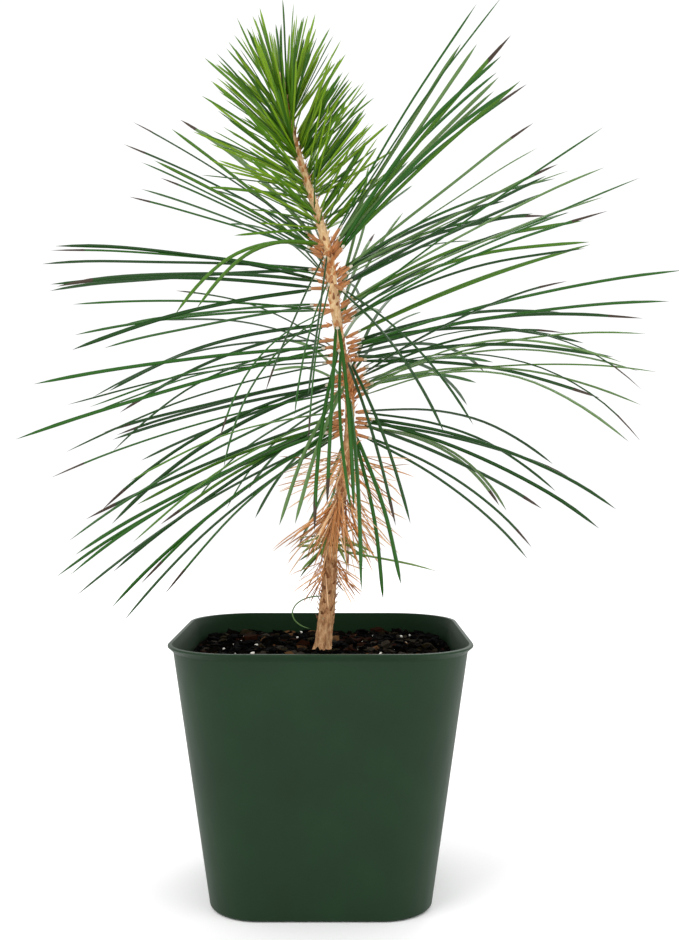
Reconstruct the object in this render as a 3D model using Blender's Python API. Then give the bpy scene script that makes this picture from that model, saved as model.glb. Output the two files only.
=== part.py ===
"""Young black pine in a square nursery pot: pot, potting mix, one leaning stem and masses of needles.

Lengths are in millimetres and angles in degrees; MM turns a finished mesh into metres.
+Z is up, +X is right, the front faces -Y, and the pot's flat underside stands on Z = 0 around the origin.
A turn of 0 points right, 90 points back, 180 left and 270 to the front.
"""

import math
import random

import bmesh
import bpy
import numpy as np

MM = 0.001
GAP = 0.3

# Pot
POT_HEIGHT = 89.4
FOOT_HALF = 37.7
FOOT_CORNER = 18.0
FOOT_ROUND = 0.9
FOOT_STEPS = 3
WALL_TOP_HALF = 49.3
WALL_TOP_CORNER = 23.5
LIP_HALF = 51.0
LIP_CORNER = 24.4
LIP_DROP = 2.4
LIP_EDGE = 0.6
LIP_BEVEL = 0.2
LIP_TOP = 1.4
LIP_INSIDE_DROP = 3.0
WALL = 1.2
FLOOR = 1.8
CORNER_STEPS = 6
DRAIN_RADIUS = 3.5
DRAIN_OFFSET = 24.0
DRAIN_SIDES = 16

# Potting mix
MIX_TOP = 81.4
MIX_RINGS = 7
MIX_SINK = 0.9
MIX_RISE = 0.55
MIX_CALM = 9.0

# Stem: height, sideways, back, radius
STEM = (
    (81.7, 0.0, 0.0, 3.1),
    (93.0, 1.2, 0.1, 2.85),
    (107.0, 2.6, 0.3, 2.55),
    (121.0, 3.4, 0.6, 2.2),
    (138.0, 6.8, 0.6, 1.9),
    (151.0, 9.0, 0.4, 1.7),
    (172.0, 10.0, -0.2, 1.5),
    (181.0, 9.5, -0.6, 1.45),
    (189.5, 7.4, -0.8, 1.42),
    (209.0, 4.2, -0.6, 1.4),
    (223.0, 2.5, 0.0, 1.38),
    (235.0, -0.3, 0.2, 1.35),
    (249.0, -4.7, 0.4, 1.25),
    (265.0, -9.7, 0.8, 1.08),
    (285.0, -14.1, 1.0, 0.85),
)
STEM_SIDES = 12
STEM_STEP = 6.0
FLARE = 0.62
FLARE_HEIGHT = 3.4
FLARE_RINGS = (0.0, 0.9, 2.0, 3.6, 6.0)
ROOT_COUNT = 4
ROOT_TURN = 0.7
BUD_LENGTH = 6.0
BUD_RADIUS = 1.3
BUD_SHAPE = ((0.15, 0.9), (0.35, 1.0), (0.6, 0.8), (0.85, 0.38))

# Bark plates that carry the needles
COLLAR = 0.8
COLLAR_ROWS = 3
COLLAR_COLUMN = 28.0
COLLAR_EDGE = 0.6
COLLAR_APART = 4.5
PLATE_GAP = GAP + 0.05

# Needles
ROOT_DEPTH = 0.55
ROOT_TAPER = 0.62
TIP_SHARE = 0.14
TIP_TAPER = 0.9
SIDE_MARGIN = 26.0
CLEAR = 0.35
TRIES = 24
PAIR_OFFSET = 0.5
PAIR_ANGLE = 9.0
SHEATH_LAP = 1.6
SHEATH_RADIUS = 0.88
SHEATH_ROOT = 0.5
GOLDEN = 0.618034
NEEDLE_SIDES = 3
WAVE = 5.0

KINDS = {
    "candle": dict(steps=2, radius=0.58, sheath=0.0, leaves=1, bend=1.2, order=0.75, rough=0.45),
    "long": dict(steps=4, radius=0.64, sheath=6.5, leaves=2, bend=1.25, order=0.5, rough=0.42),
    "dry": dict(steps=2, radius=0.46, sheath=0.0, leaves=1, bend=1.0, order=0.1, rough=0.8),
    "shoot": dict(steps=2, radius=0.5, sheath=0.0, leaves=1, bend=1.0, order=0.3, rough=0.5),
}

CANDLE_GREEN = (88, 132, 48)
NEEDLE_GREEN = (46, 84, 42)
DRY_BROWN = (186, 128, 82)
SHOOT_GREEN = (92, 120, 52)
BARK_BROWN = (142, 106, 74)
POT_GREEN = (38, 62, 46)
MIX_BROWN = (44, 34, 28)


def srgb(colour):
    """One paint colour as linear values."""
    return tuple((c / 255) ** 2.2 for c in colour) + (1.0,)


def paint(name, colour, roughness):
    """Principled material with one flat colour."""
    material = bpy.data.materials.new(name)
    material.use_nodes = True
    shader = material.node_tree.nodes["Principled BSDF"]
    shader.inputs["Base Color"].default_value = srgb(colour)
    shader.inputs["Roughness"].default_value = roughness
    shader.inputs["Metallic"].default_value = 0.0
    return material


def solid(name, points, faces, material=None, smooth=True):
    """Object made of the given points, with its faces turned outward."""
    mesh = bpy.data.meshes.new(name)
    mesh.from_pydata([tuple(p) for p in np.asarray(points) * MM], [], faces)
    work = bmesh.new()
    work.from_mesh(mesh)
    bmesh.ops.recalc_face_normals(work, faces=work.faces)
    if work.calc_volume(signed=True) < 0:
        bmesh.ops.reverse_faces(work, faces=work.faces)
    work.to_mesh(mesh)
    work.free()
    for face in mesh.polygons:
        face.use_smooth = smooth
    piece = bpy.data.objects.new(name, mesh)
    bpy.context.scene.collection.objects.link(piece)
    if material is not None:
        mesh.materials.append(material)
    return piece


def loft(rings, cap_start=True, cap_end=True):
    """Points and faces of a skin through equal rings; a ring of one point closes to a tip."""
    points = []
    faces = []
    starts = []
    for ring in rings:
        starts.append(len(points))
        points.extend(ring)
    for k in range(len(rings) - 1):
        low = starts[k]
        high = starts[k + 1]
        count = max(len(rings[k]), len(rings[k + 1]))
        for i in range(count):
            j = (i + 1) % count
            if len(rings[k + 1]) == 1:
                faces.append((low + i, low + j, high))
            elif len(rings[k]) == 1:
                faces.append((low, high + j, high + i))
            else:
                faces.append((low + i, low + j, high + j, high + i))
    if cap_start and len(rings[0]) > 1:
        faces.append(tuple(reversed(range(len(rings[0])))))
    if cap_end and len(rings[-1]) > 1:
        faces.append(tuple(starts[-1] + i for i in range(len(rings[-1]))))
    return points, faces


def rounded_square(half, corner, height):
    """Ring of points round a square with rounded corners."""
    ring = []
    for quarter in range(4):
        toward_x = 1 if quarter in (0, 3) else -1
        toward_y = 1 if quarter in (0, 1) else -1
        for step in range(CORNER_STEPS + 1):
            angle = math.radians(90 * (quarter + step / CORNER_STEPS))
            ring.append((toward_x * (half - corner) + corner * math.cos(angle),
                         toward_y * (half - corner) + corner * math.sin(angle), height))
    return ring


def wall_at(height):
    """Half width and corner radius of the pot's outer wall at a height."""
    share = height / (POT_HEIGHT - LIP_DROP)
    half = FOOT_HALF + (WALL_TOP_HALF - FOOT_HALF) * share
    corner = FOOT_CORNER + (WALL_TOP_CORNER - FOOT_CORNER) * share
    return half, corner


def make_pot():
    """Thin tapered pot: rounded foot, straight walls, a short lip that flares, and drain holes in the floor."""
    rings = []
    for step in range(FOOT_STEPS + 1):
        angle = math.radians(90 * step / FOOT_STEPS)
        height = FOOT_ROUND * (1 - math.cos(angle))
        half, corner = wall_at(height)
        inset = FOOT_ROUND * (1 - math.sin(angle))
        rings.append(rounded_square(half - inset, corner - inset, height))
    half, corner = wall_at(POT_HEIGHT - LIP_DROP)
    rings.append(rounded_square(half, corner, POT_HEIGHT - LIP_DROP))
    for inset, drop in ((0.0, LIP_EDGE), (0.0, LIP_BEVEL), (LIP_BEVEL, 0.0), (LIP_TOP, 0.0)):
        rings.append(rounded_square(LIP_HALF - inset, LIP_CORNER - inset, POT_HEIGHT - drop))
    for height in (POT_HEIGHT - LIP_INSIDE_DROP, FLOOR):
        half, corner = wall_at(height)
        rings.append(rounded_square(half - WALL, corner - WALL, height))
    points, faces = loft(rings)
    pot = solid("pot", points, faces, paint("pot_plastic", POT_GREEN, 0.38))
    for turn in (45, 135, 225, 315):
        across = DRAIN_OFFSET * math.sqrt(2) * math.cos(math.radians(turn))
        away = DRAIN_OFFSET * math.sqrt(2) * math.sin(math.radians(turn))
        bpy.ops.mesh.primitive_cylinder_add(vertices=DRAIN_SIDES, radius=DRAIN_RADIUS * MM, depth=6 * FLOOR * MM,
                                            location=(across * MM, away * MM, 0.0))
        cutter = bpy.context.object
        cut_from(pot, cutter)
    return pot


def cut_from(piece, cutter):
    """Subtract a cutter, keep the result and remove the cutter."""
    modifier = piece.modifiers.new("cut", "BOOLEAN")
    modifier.operation = "DIFFERENCE"
    modifier.solver = "EXACT"
    modifier.object = cutter
    settle(piece)
    bpy.data.objects.remove(cutter)


def settle(piece):
    """Keep the shape that the modifiers give."""
    graph = bpy.context.evaluated_depsgraph_get()
    graph.update()
    mesh = bpy.data.meshes.new_from_object(piece.evaluated_get(graph), depsgraph=graph)
    piece.modifiers.clear()
    piece.data = mesh


def make_mix():
    """Potting mix that fills the pot up to a crumbly top, kept flat where the stem stands."""
    rng = random.Random(41)
    bottom = FLOOR + GAP
    half_low, corner_low = wall_at(bottom)
    half_high, corner_high = wall_at(MIX_TOP)
    inset = WALL + GAP
    rings = [rounded_square(half_low - inset, corner_low - inset, bottom),
             rounded_square(half_high - inset, corner_high - inset, MIX_TOP)]
    rim = np.array(rings[-1])
    for k in range(1, MIX_RINGS):
        share = 1 - k / MIX_RINGS
        ring = []
        for point in rim:
            lift = rng.uniform(-MIX_SINK, MIX_RISE) if math.hypot(*point[:2]) * share > MIX_CALM else 0.0
            ring.append((point[0] * share, point[1] * share, MIX_TOP + lift))
        rings.append(ring)
    rings.append([(0.0, 0.0, MIX_TOP)])
    points, faces = loft(rings)
    return solid("potting_mix", points, faces, paint("mix_crumbs", MIX_BROWN, 0.95))


def stem_at(height):
    """Centre and radius of the stem at a height, on a smooth line through STEM."""
    k = 0
    while k < len(STEM) - 2 and STEM[k + 1][0] < height:
        k += 1
    low = STEM[k]
    high = STEM[k + 1]
    before = STEM[max(k - 1, 0)]
    after = STEM[min(k + 2, len(STEM) - 1)]
    run = high[0] - low[0]
    u = min(max((height - low[0]) / run, 0.0), 1.0)
    values = []
    for c in (1, 2, 3):
        leave = (high[c] - before[c]) / (high[0] - before[0]) * run
        arrive = (after[c] - low[c]) / (after[0] - low[0]) * run
        values.append((2 * u**3 - 3 * u**2 + 1) * low[c] + (u**3 - 2 * u**2 + u) * leave
                      + (3 * u**2 - 2 * u**3) * high[c] + (u**3 - u**2) * arrive)
    return np.array((values[0], values[1], height)), values[2]


def make_stem():
    """One whole stem: flat cut at the mix, splayed roots, taper, lean and a pointed bud at the tip."""
    bottom = STEM[0][0]
    top = STEM[-1][0]
    heights = [bottom + rise for rise in FLARE_RINGS]
    heights += list(np.linspace(heights[-1], top, round((top - bottom) / STEM_STEP)))[1:]
    rings = []
    for height in heights:
        centre, radius = stem_at(height)
        splay = FLARE * math.exp(-(height - bottom) / FLARE_HEIGHT)
        ring = []
        for i in range(STEM_SIDES):
            angle = 2 * math.pi * i / STEM_SIDES
            root = 0.5 + 0.5 * math.cos(ROOT_COUNT * angle + ROOT_TURN)
            reach = radius * (1 + splay * root)
            ring.append(centre + np.array((reach * math.cos(angle), reach * math.sin(angle), 0.0)))
        rings.append(ring)
    centre, radius = stem_at(top)
    lean = (centre - stem_at(top - BUD_LENGTH)[0]) / BUD_LENGTH
    for share, swell in BUD_SHAPE:
        middle = centre + lean * BUD_LENGTH * share
        rings.append([middle + BUD_RADIUS * swell * np.array((math.cos(2 * math.pi * i / STEM_SIDES),
                                                              math.sin(2 * math.pi * i / STEM_SIDES), 0.0))
                      for i in range(STEM_SIDES)])
    rings.append([centre + lean * BUD_LENGTH])
    points, faces = loft(rings)
    return solid("trunk", points, faces, paint("bark", BARK_BROWN, 0.85))


def heading(tilt, turn):
    """Unit direction from a tilt above level and a turn about the vertical."""
    tilt = math.radians(tilt)
    turn = math.radians(turn)
    return np.array((math.cos(tilt) * math.cos(turn), math.cos(tilt) * math.sin(turn), math.sin(tilt)))


def needle_path(root, turn, lift, reach, droop, sweep, wave, steps, bend):
    """Line of one needle: it leaves at its lift, then sinks by its droop and swings by its sweep."""
    marks = [(1 - TIP_SHARE) * k / (steps - 1) for k in range(steps)] + [1.0]
    points = [root]
    for low, high in zip(marks[:-1], marks[1:]):
        middle = 0.5 * (low + high)
        share = middle ** bend
        sway = wave * math.sin(2 * math.pi * middle)
        step = heading(lift - droop * share + sway, turn + sweep * share)
        points.append(points[-1] + step * reach * (high - low))
    return np.array(points)


def segment_gaps(a0, a1, b0, b1):
    """Least distance between every segment a and every segment b."""
    d1 = (a1 - a0)[:, None]
    d2 = (b1 - b0)[None]
    r = a0[:, None] - b0[None]
    a = np.sum(d1 * d1, 2)
    e = np.sum(d2 * d2, 2)
    f = np.sum(d2 * r, 2)
    b = np.sum(d1 * d2, 2)
    c = np.sum(d1 * r, 2)
    spread = a * e - b * b
    s = np.where(spread > 1e-9, np.clip((b * f - c * e) / np.maximum(spread, 1e-9), 0, 1), 0.0)
    t = (b * s + f) / e
    s = np.where(t < 0, np.clip(-c / a, 0, 1), s)
    s = np.where(t > 1, np.clip((b - c) / a, 0, 1), s)
    t = np.clip(t, 0, 1)
    between = r + d1 * s[..., None] - d2 * t[..., None]
    return np.sqrt(np.sum(between * between, 2))


class Crown:
    """Keeps every needle grown so far, so that each mass stays in its own space."""

    def __init__(self):
        self.starts = np.zeros((0, 3))
        self.ends = np.zeros((0, 3))
        self.radii = np.zeros(0)
        self.owners = np.zeros(0, int)

    def keep(self, points, radius, owner):
        count = len(points) - 1
        self.starts = np.concatenate((self.starts, points[:-1]))
        self.ends = np.concatenate((self.ends, points[1:]))
        self.radii = np.concatenate((self.radii, np.full(count, radius)))
        self.owners = np.concatenate((self.owners, np.full(count, owner)))

    def is_free(self, points, radius, owner):
        """True when a line is clear of every needle of the other masses."""
        others = self.owners != owner
        if not others.any():
            return True
        gaps = segment_gaps(points[:-1], points[1:], self.starts[others], self.ends[others])
        return bool(np.all(gaps > self.radii[others][None] + radius + CLEAR))


def keeps_place(points, radius, mass):
    """True when a line near the stem stays over its own collar, and off the stem and the mix."""
    for k in range(len(points) - 1):
        for u in (0.0, 0.25, 0.5, 0.75, 1.0):
            point = points[k] * (1 - u) + points[k + 1] * u
            if point[2] < MIX_TOP + 2.0:
                return False
            if point[2] > STEM[-1][0] + BUD_LENGTH:
                continue
            centre, stem = stem_at(point[2])
            off = math.hypot(point[0] - centre[0], point[1] - centre[1])
            if off > stem + GAP + COLLAR + radius + CLEAR:
                continue
            side = math.degrees(math.atan2(point[1] - centre[1], point[0] - centre[0])) - mass["side"]
            side = (side + 180) % 360 - 180
            edge = mass["half"] - math.degrees((0.8 * radius + GAP) / off)
            if not mass["low"] + radius < point[2] < mass["high"] - radius or abs(side) > edge:
                return False
            if off < stem + GAP + 0.5 * ROOT_DEPTH * COLLAR:
                return False
    return True


def grow_bundle(crown, owner, mass, rng, place, across, length):
    """One bundle: a needle, or a sheath and the two needles that part from it; None when it has no room."""
    kind = KINDS[mass["kind"]]
    height = mass["low"] + (mass["high"] - mass["low"]) * (0.1 + 0.8 * place)
    side = mass["side"] + across * (mass["half"] - SIDE_MARGIN)
    turn = mass["side"] + mass["fan"] * (0.65 * across + 0.35 * rng.uniform(-1, 1))
    order = kind["order"]
    lift = mass["lift"] + mass["spread"] * (order * (2 * place - 1) + (1 - order) * rng.uniform(-1, 1))
    reach = length * rng.uniform(0.82, 1.04)
    droop = mass["droop"] * rng.uniform(0.45, 1.5)
    sweep = 20 * rng.uniform(-1, 1)
    wave = WAVE * rng.uniform(-1, 1)
    stretch = rng.uniform(0.8, 1.15)
    twist = math.radians(rng.uniform(0, 180))
    centre, stem = stem_at(height)
    root = centre + heading(0, side) * (stem + GAP + ROOT_DEPTH * COLLAR)
    radius = kind["radius"]
    ahead = heading(lift, turn)
    sheath = None
    start = root
    lines = []
    if kind["sheath"]:
        sheath = np.array((root, root + ahead * kind["sheath"] * stretch))
        start = sheath[1] - ahead * SHEATH_LAP
        lines.append((sheath, SHEATH_RADIUS))
    beside = heading(0, turn + 90) * math.cos(twist) + heading(lift + 90, turn) * math.sin(twist)
    leaves = []
    for sign in (-1, 1)[:kind["leaves"]]:
        paired = kind["leaves"] - 1
        part = paired * sign * PAIR_ANGLE * rng.uniform(0.35, 0.75)
        leaf = needle_path(start + paired * sign * PAIR_OFFSET * beside, turn + part * math.cos(twist),
                           lift + part * math.sin(twist), reach * rng.uniform(0.9, 1.0),
                           droop * rng.uniform(0.85, 1.15), sweep, wave, kind["steps"], kind["bend"])
        leaves.append(leaf)
        lines.append((leaf, radius))
    for points, thick in lines:
        if not keeps_place(points, thick, mass) or not crown.is_free(points, thick, owner):
            return None
    for points, thick in lines:
        crown.keep(points, thick, owner)
    return sheath, leaves


def grow_mass(crown, owner, mass):
    """Bundles of one mass; a bundle that finds no room after some tries is left out."""
    rng = random.Random(7000 + 31 * owner)
    bundles = []
    for k in range(mass["count"]):
        for attempt in range(TRIES):
            place = (k + rng.uniform(0.2, 0.8)) / mass["count"]
            across = 2 * ((k * GOLDEN + 0.25 + rng.uniform(-0.12, 0.12)) % 1) - 1
            if mass["parted"]:
                across = (-1) ** k * rng.uniform(0.5, 1.0)
            length = mass["leader"] if mass["leader"] and k == 0 else mass["reach"]
            bundle = grow_bundle(crown, owner, mass, rng, place, across, length)
            if bundle:
                bundles.append(bundle)
                break
    return bundles


def tube(path, radii, roll):
    """Slim tapered prism along a path; a last radius of 0 ends in a point."""
    rings = []
    ahead = path[1] - path[0]
    beside = np.cross(ahead, (0.0, 0.0, 1.0))
    beside = beside / np.linalg.norm(beside)
    for k, point in enumerate(path):
        ahead = path[min(k + 1, len(path) - 1)] - path[max(k - 1, 0)]
        ahead = ahead / np.linalg.norm(ahead)
        beside = beside - ahead * np.dot(beside, ahead)
        beside = beside / np.linalg.norm(beside)
        above = np.cross(beside, ahead)
        if radii[k] == 0:
            rings.append([point])
            continue
        rings.append([point + radii[k] * (beside * math.cos(roll + 2 * math.pi * i / NEEDLE_SIDES)
                                          + above * math.sin(roll + 2 * math.pi * i / NEEDLE_SIDES))
                      for i in range(NEEDLE_SIDES)])
    return loft(rings)


def collar_rings(mass):
    """Closed loops of a curved bark plate that hugs part of the stem, one loop a height."""
    columns = max(3, round(2 * mass["half"] / COLLAR_COLUMN))
    rings = []
    for height in np.linspace(mass["low"], mass["high"], COLLAR_ROWS):
        centre, stem = stem_at(height)
        inner = []
        outer = []
        for column in range(columns + 1):
            out = heading(0, mass["side"] - mass["half"] + 2 * mass["half"] * column / columns)
            thick = COLLAR if 0 < column < columns else COLLAR_EDGE * COLLAR
            inner.append(centre + out * (stem + PLATE_GAP))
            outer.append(centre + out * (stem + PLATE_GAP + thick))
        rings.append(inner + outer[::-1])
    return rings


def make_mass(mass, bundles, material):
    """Fuse a collar and its needles into one closed body."""
    kind = KINDS[mass["kind"]]
    rng = random.Random(900)
    points, faces = loft(collar_rings(mass))
    piece = solid(mass["name"], points, faces, material)
    stock = bpy.data.collections.new(mass["name"] + "_stock")
    bpy.context.scene.collection.children.link(stock)
    taper = [ROOT_TAPER] + [1.0] * (kind["steps"] - 2) + [TIP_TAPER, 0.0]
    parts = []
    for sheath, leaves in bundles:
        radius = kind["radius"]
        if sheath is not None:
            parts.append(tube(sheath, (SHEATH_ROOT * SHEATH_RADIUS, SHEATH_RADIUS), rng.uniform(0, 2)))
        for leaf in leaves:
            parts.append(tube(leaf, [radius * share for share in taper], rng.uniform(0, 2)))
    for points, faces in parts:
        part = solid(mass["name"] + "_part", points, faces)
        bpy.context.scene.collection.objects.unlink(part)
        stock.objects.link(part)
    join = piece.modifiers.new("join", "BOOLEAN")
    join.operation = "UNION"
    join.solver = "EXACT"
    join.operand_type = "COLLECTION"
    join.collection = stock
    settle(piece)
    for part in list(stock.objects):
        bpy.data.objects.remove(part)
    bpy.data.collections.remove(stock)
    piece.data.materials.clear()
    piece.data.materials.append(material)
    for face in piece.data.polygons:
        face.use_smooth = True
        face.material_index = 0
    return piece


def ring_of(name, kind, low, high, rows, **common):
    """Rows of one storey: masses side by side round the stem, each named for the way it faces."""
    masses = []
    for facing, row in rows.items():
        mass = dict(name=name + "_" + facing, kind=kind, low=low, high=high, parted=False, leader=0.0,
                    half=180 / len(rows) - COLLAR_APART)
        mass.update(common)
        mass.update(row)
        masses.append(mass)
    return masses


def plan_crown():
    """Every mass of needles, storey by storey from the tip down."""
    masses = []
    masses += ring_of("candle_top", "candle", 271.5, 284.5, dict(
        right=dict(side=-30, lift=68, spread=17),
        back=dict(side=90, lift=66, spread=20),
        left=dict(side=210, lift=60, spread=22)), fan=75, reach=33, droop=6, count=18)
    masses += ring_of("candle_middle", "candle", 257.5, 270.5, dict(
        right=dict(side=-10, lift=56, spread=15, reach=35),
        back=dict(side=110, lift=44, spread=18, reach=40),
        left=dict(side=230, lift=36, spread=20, reach=43)), fan=65, droop=7, count=18)
    masses += ring_of("candle_base", "candle", 243.5, 256.5, dict(
        right=dict(side=-25, lift=46, spread=16, reach=38),
        back=dict(side=95, lift=32, spread=20, reach=40),
        left=dict(side=215, lift=18, spread=24, reach=43)), fan=65, droop=6, count=14)
    masses += ring_of("candle_foot", "candle", 232.5, 242.5, dict(
        right=dict(side=-10, lift=50, spread=12, reach=37),
        back=dict(side=110, lift=30, spread=16, reach=36),
        left=dict(side=230, lift=14, spread=22, reach=34)), fan=60, droop=4, count=7)
    masses += ring_of("upper_whorl", "long", 221.5, 231.5, dict(
        right=dict(side=-16, lift=48, spread=17, reach=95, droop=12, count=7),
        back=dict(side=74, lift=50, spread=18, reach=84, droop=16, count=3),
        left=dict(side=164, lift=34, spread=20, reach=86, droop=12, count=5),
        front=dict(side=254, lift=-20, spread=40, reach=84, droop=34, count=2, parted=True)), fan=42)
    masses += ring_of("upper_bough", "long", 210.5, 220.5, dict(
        right=dict(side=16, lift=33, spread=12, reach=102, droop=20, count=6),
        back=dict(side=106, lift=34, spread=24, reach=96, droop=22, count=3),
        left=dict(side=196, lift=8, spread=15, reach=108, droop=18, count=4),
        front=dict(side=286, lift=-34, spread=26, reach=84, droop=36, count=2, parted=True)), fan=42)
    masses += ring_of("middle_high", "long", 197.5, 209.5, dict(
        right=dict(side=-12, lift=24, spread=12, reach=110, droop=14, count=5),
        back=dict(side=78, lift=46, spread=16, reach=100, droop=12, count=3),
        left=dict(side=168, lift=0, spread=10, reach=104, droop=20, count=3),
        front=dict(side=258, lift=-30, spread=20, reach=86, droop=34, count=2, parted=True)), fan=42)
    masses += ring_of("middle_low", "long", 184.5, 196.5, dict(
        right=dict(side=14, lift=15, spread=15, reach=112, droop=26, count=6),
        back=dict(side=104, lift=16, spread=24, reach=96, droop=24, count=3),
        left=dict(side=194, lift=-6, spread=10, reach=112, droop=20, count=4),
        front=dict(side=284, lift=-40, spread=20, reach=84, droop=30, count=2, parted=True)), fan=42)
    masses += ring_of("lower_whorl", "long", 171.5, 183.5, dict(
        right=dict(side=-14, lift=20, spread=18, reach=110, droop=62, count=5),
        back=dict(side=76, lift=24, spread=26, reach=96, droop=24, count=3),
        left=dict(side=166, lift=-13, spread=14, reach=108, droop=22, count=5),
        front=dict(side=256, lift=-46, spread=16, reach=78, droop=24, count=2, parted=True)), fan=40)
    masses += ring_of("lowest_whorl", "long", 158.5, 170.5, dict(
        right=dict(side=12, lift=-2, spread=18, reach=94, droop=42, count=5),
        back=dict(side=102, lift=-12, spread=20, reach=86, droop=30, count=2),
        left=dict(side=192, lift=-22, spread=12, reach=106, droop=20, count=7),
        front=dict(side=282, lift=-62, spread=8, reach=62, droop=14, count=1, parted=True)), fan=40)
    masses += ring_of("dry_high", "dry", 142.5, 156.5, dict(
        right=dict(side=-20), back=dict(side=100), left=dict(side=220)),
        fan=80, lift=-14, spread=34, reach=27, droop=26, count=8)
    masses += ring_of("dry_middle", "dry", 127.5, 140.5, dict(
        right=dict(side=10), back=dict(side=130), left=dict(side=250)),
        fan=80, lift=-44, spread=32, reach=27, droop=22, count=13)
    masses += ring_of("shoot", "shoot", 117.5, 125.5, dict(
        right=dict(side=-10, leader=50), left=dict(side=170, leader=22)),
        fan=90, lift=-8, spread=34, reach=15, droop=22, count=8)
    masses += ring_of("dry_low", "dry", 107.5, 116.0, dict(
        right=dict(side=-20), back=dict(side=100), left=dict(side=220)),
        fan=70, lift=-34, spread=28, reach=14, droop=22, count=6)
    return masses


def main():
    for item in list(bpy.data.objects):
        bpy.data.objects.remove(item)
    make_pot()
    make_mix()
    make_stem()
    colours = {"candle": CANDLE_GREEN, "long": NEEDLE_GREEN, "dry": DRY_BROWN, "shoot": SHOOT_GREEN}
    paints = {kind: paint(kind + "_needles", colours[kind], KINDS[kind]["rough"]) for kind in KINDS}
    crown = Crown()
    for owner, mass in enumerate(plan_crown()):
        bundles = grow_mass(crown, owner, mass)
        make_mass(mass, bundles, paints[mass["kind"]])


main()
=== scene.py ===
# %% [markdown]
# This lesson dresses a young black pine in a square nursery pot.
# The frame holds the plain solids; each step below makes one kind of thing that a maker would see.
# Lengths are in millimetres while a mesh is worked out, and MM turns them into metres at the end.

# %% Load the frame
import math
import random

import bpy
import numpy as np
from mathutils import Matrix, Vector


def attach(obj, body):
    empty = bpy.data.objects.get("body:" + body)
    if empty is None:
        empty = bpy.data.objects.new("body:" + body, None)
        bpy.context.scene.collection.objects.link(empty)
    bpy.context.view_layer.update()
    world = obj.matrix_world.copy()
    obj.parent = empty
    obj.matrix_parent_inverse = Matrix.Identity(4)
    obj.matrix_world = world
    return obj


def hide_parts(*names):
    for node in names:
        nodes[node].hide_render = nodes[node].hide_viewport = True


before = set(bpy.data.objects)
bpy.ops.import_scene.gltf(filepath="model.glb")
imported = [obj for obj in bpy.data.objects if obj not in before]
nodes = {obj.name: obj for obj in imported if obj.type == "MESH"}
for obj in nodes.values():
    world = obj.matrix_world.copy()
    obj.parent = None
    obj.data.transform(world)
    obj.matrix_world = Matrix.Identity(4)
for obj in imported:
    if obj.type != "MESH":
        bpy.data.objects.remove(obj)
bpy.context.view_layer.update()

MM = 0.001
print("nodes in the frame:", len(nodes))

# %% [markdown]
# Every finish starts from one Principled shader. A helper makes it, so that each later cell only
# says what is special: its colour, its roughness and any pattern on Object coordinates.


# %% Paint helpers
def linear(colour):
    """Paint colour 0 to 255 as linear values."""
    return tuple((c / 255) ** 2.2 for c in colour) + (1.0,)


def finish_named(name, colour, roughness, specular=0.5):
    """Principled material; returns it with its node tree and shader."""
    material = bpy.data.materials.new(name)
    material.use_nodes = True
    tree = material.node_tree
    shader = tree.nodes["Principled BSDF"]
    shader.inputs["Base Color"].default_value = linear(colour)
    shader.inputs["Roughness"].default_value = roughness
    shader.inputs["Specular IOR Level"].default_value = specular
    return material, tree, shader


def coordinates(tree, stretch):
    """Object coordinates in millimetres, stretched along each axis."""
    where = tree.nodes.new("ShaderNodeTexCoord")
    mapping = tree.nodes.new("ShaderNodeMapping")
    mapping.inputs["Scale"].default_value = [1000 * s for s in stretch]
    tree.links.new(where.outputs["Object"], mapping.inputs["Vector"])
    return mapping.outputs["Vector"]


def noise(tree, vector, scale, detail=4.0, rough=0.55):
    """Noise texture on a vector; returns its factor."""
    node = tree.nodes.new("ShaderNodeTexNoise")
    node.inputs["Scale"].default_value = scale
    node.inputs["Detail"].default_value = detail
    node.inputs["Roughness"].default_value = rough
    tree.links.new(vector, node.inputs["Vector"])
    return node.outputs["Fac"]


def ramp(tree, factor, stops):
    """Colour ramp; stops are (place, paint colour)."""
    node = tree.nodes.new("ShaderNodeValToRGB")
    while len(node.color_ramp.elements) < len(stops):
        node.color_ramp.elements.new(0.5)
    for element, (place, colour) in zip(node.color_ramp.elements, stops):
        element.position = place
        element.color = linear(colour)
    tree.links.new(factor, node.inputs["Fac"])
    return node.outputs["Color"]


def bump(tree, shader, height, strength, distance):
    """Bump from a height into the shader's normal."""
    node = tree.nodes.new("ShaderNodeBump")
    node.inputs["Strength"].default_value = strength
    node.inputs["Distance"].default_value = distance * MM
    tree.links.new(height, node.inputs["Height"])
    tree.links.new(node.outputs["Normal"], shader.inputs["Normal"])


# %% [markdown]
# The stem is one line through a few heights, with a radius at each. Everything on the plant is
# placed from this line, so it comes first. These are the frame's own numbers.

# %% The stem's line
GAP = 0.3
MIX_TOP = 81.4
STEM = (
    (81.7, 0.0, 0.0, 3.1),
    (93.0, 1.2, 0.1, 2.85),
    (107.0, 2.6, 0.3, 2.55),
    (121.0, 3.4, 0.6, 2.2),
    (138.0, 6.8, 0.6, 1.9),
    (151.0, 9.0, 0.4, 1.7),
    (172.0, 10.0, -0.2, 1.5),
    (181.0, 9.5, -0.6, 1.45),
    (189.5, 7.4, -0.8, 1.42),
    (209.0, 4.2, -0.6, 1.4),
    (223.0, 2.5, 0.0, 1.38),
    (235.0, -0.3, 0.2, 1.35),
    (249.0, -4.7, 0.4, 1.25),
    (265.0, -9.7, 0.8, 1.08),
    (285.0, -14.1, 1.0, 0.85),
)
BUD_LENGTH = 6.0


def heading(tilt, turn):
    """Unit direction from a tilt above level and a turn about the vertical."""
    tilt = math.radians(tilt)
    turn = math.radians(turn)
    return np.array((math.cos(tilt) * math.cos(turn), math.cos(tilt) * math.sin(turn), math.sin(tilt)))


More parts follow.
